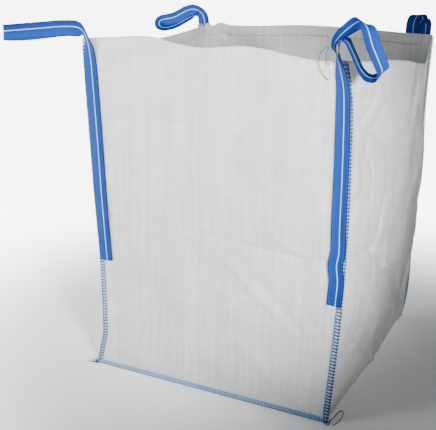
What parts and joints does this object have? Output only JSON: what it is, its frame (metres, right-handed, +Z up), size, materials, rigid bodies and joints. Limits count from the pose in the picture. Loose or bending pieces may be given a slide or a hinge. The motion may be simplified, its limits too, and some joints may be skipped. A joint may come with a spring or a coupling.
{
  "type": "bulk bag",
  "caption": "Open-top woven bulk bag in a box shape with a flat base, overlocked seam flanges and webbing lifting loops at the corners.",
  "frame": {"origin": "centre of the base where it stands on the floor", "axes": "+Z up, front panel at -Y, +X to the right when facing the front"},
  "size_m": [1.3032, 1.1167, 1.3112],
  "materials": {
    "woven_cloth": "white woven tape cloth with a slight sheen",
    "webbing": "blue ribbed webbing with one pale line",
    "overlock_yarn": "blue and white bulky yarn",
    "stitching_thread": "pale sewing thread"
  },
  "bodies": {
    "bag": {"front_panel": "woven_cloth", "back_panel": "woven_cloth", "u_panel": "woven_cloth", "overlock_front_left": "overlock_yarn", "overlock_front_right": "overlock_yarn", "overlock_back_left": "overlock_yarn", "overlock_back_right": "overlock_yarn", "overlock_front_bottom": "overlock_yarn", "overlock_back_bottom": "overlock_yarn", "hem_thread_front": "stitching_thread", "hem_thread_back": "stitching_thread", "hem_thread_left": "stitching_thread", "hem_thread_right": "stitching_thread", "outer_leg_front_left": "webbing", "inner_leg_front_left": "webbing", "leg_stitching_front_left": "stitching_thread", "outer_leg_front_right": "webbing", "inner_leg_front_right": "webbing", "leg_stitching_front_right": "stitching_thread", "outer_leg_back_left": "webbing", "inner_leg_back_left": "webbing", "leg_stitching_back_left": "stitching_thread", "outer_leg_back_right": "webbing", "inner_leg_back_right": "webbing", "leg_stitching_back_right": "stitching_thread", "thread_tail_top": "overlock_yarn", "thread_tail_front_left": "overlock_yarn", "thread_tail_front_right": "overlock_yarn"},
    "loop_front_left": {"lifting_loop_front_left": "webbing"},
    "loop_front_right": {"lifting_loop_front_right": "webbing"},
    "loop_back_left": {"lifting_loop_back_left": "webbing"},
    "loop_back_right": {"lifting_loop_back_right": "webbing"}
  },
  "joints": [
    {"name": "loop_front_left_hinge", "type": "hinge", "parent": "bag", "child": "loop_front_left", "pos_m": [-0.4456, -0.4739, 1.2081], "axis": [-0.495, 0.8511, 0.175], "range_deg": [-15, 45]},
    {"name": "loop_front_right_hinge", "type": "hinge", "parent": "bag", "child": "loop_front_right", "pos_m": [0.432, -0.4592, 1.188], "axis": [0.9682, -0.022, 0.2491], "range_deg": [-25, 45]},
    {"name": "loop_back_left_hinge", "type": "hinge", "parent": "bag", "child": "loop_back_left", "pos_m": [-0.4946, 0.4684, 1.2138], "axis": [0.116, 0.967, -0.227], "range_deg": [-10, 50]},
    {"name": "loop_back_right_hinge", "type": "hinge", "parent": "bag", "child": "loop_back_right", "pos_m": [0.4065, 0.4652, 1.2372], "axis": [0.9917, -0.047, -0.12], "range_deg": [0, 110]}
  ]
}
